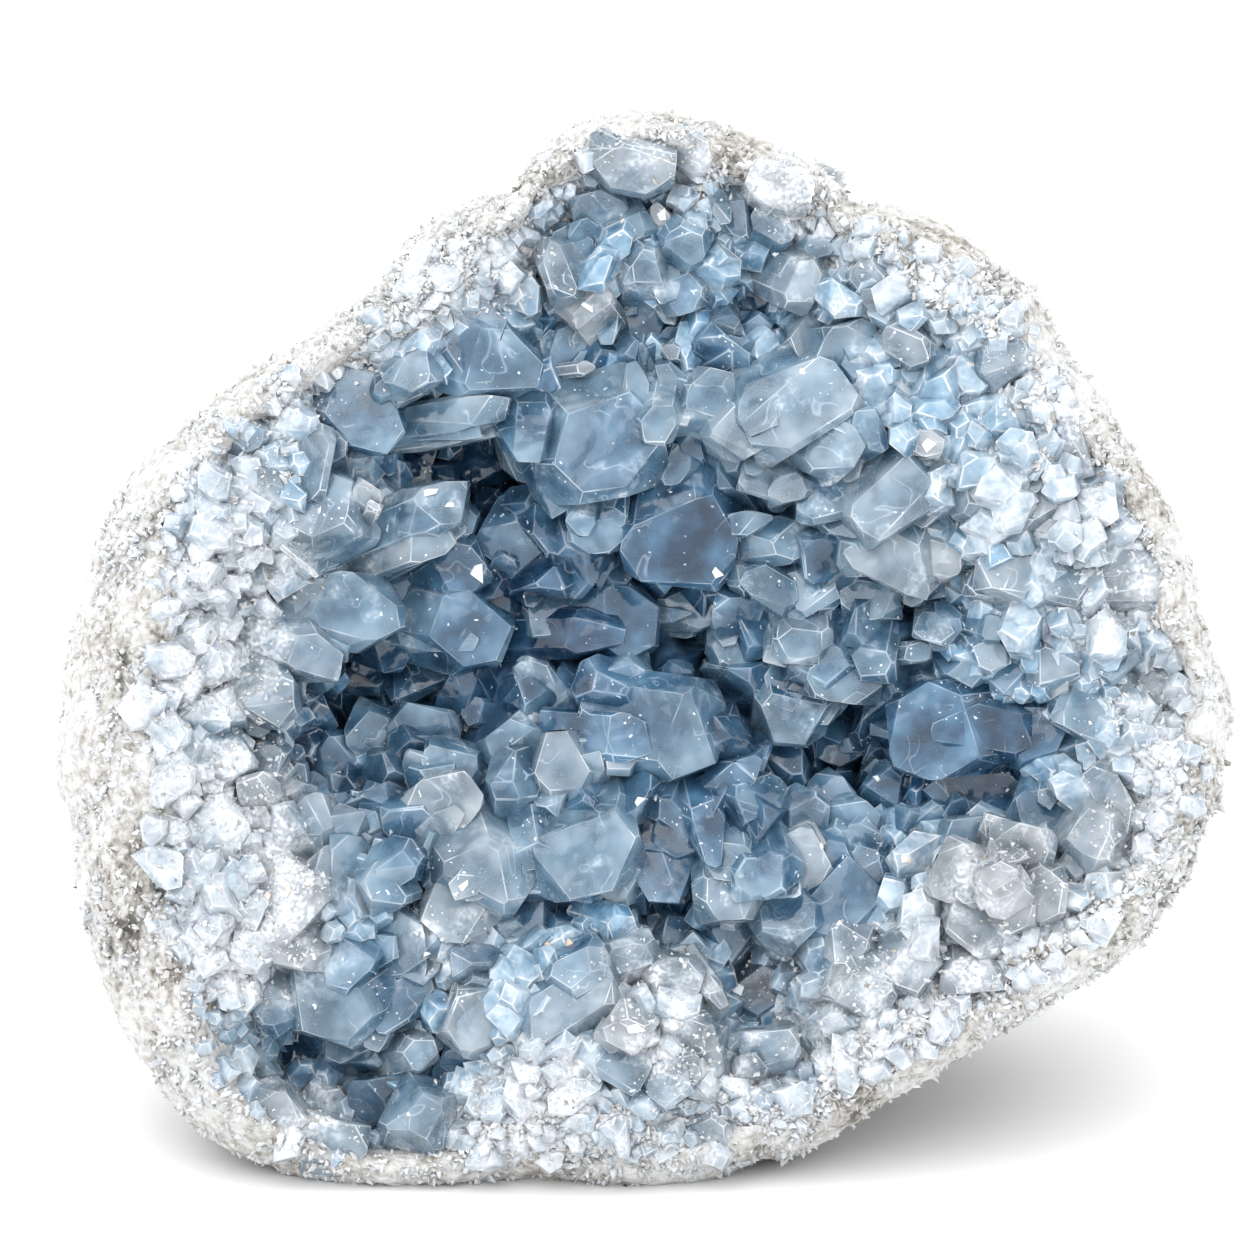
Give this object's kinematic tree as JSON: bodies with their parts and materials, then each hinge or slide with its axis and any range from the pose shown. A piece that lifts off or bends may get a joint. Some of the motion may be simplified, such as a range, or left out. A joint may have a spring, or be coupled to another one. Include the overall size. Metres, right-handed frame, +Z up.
{
  "type": "celestite crystal cluster",
  "caption": "Half of a celestite geode: a pale grainy stone rind with a hollow face, lined with blocky, translucent pale to deep blue crystals, that stands on a flat cut.",
  "frame": {"origin": "bottom middle of the bounding box, on the flat cut that the piece rests on", "axes": "+Z up, +X to the right of the open crystal face as a viewer sees it, -Y out of the open face, which leans back 15 degrees"},
  "size_m": [0.1835, 0.1208, 0.1611],
  "materials": {
    "stone_rind": "rough, granular, whitish with grey and beige specks",
    "celestite": "smooth, translucent, milky pale to deep blue crystal"
  },
  "bodies": {
    "root": {"rind": "stone_rind", "crystal_crust": "celestite"}
  },
  "joints": []
}
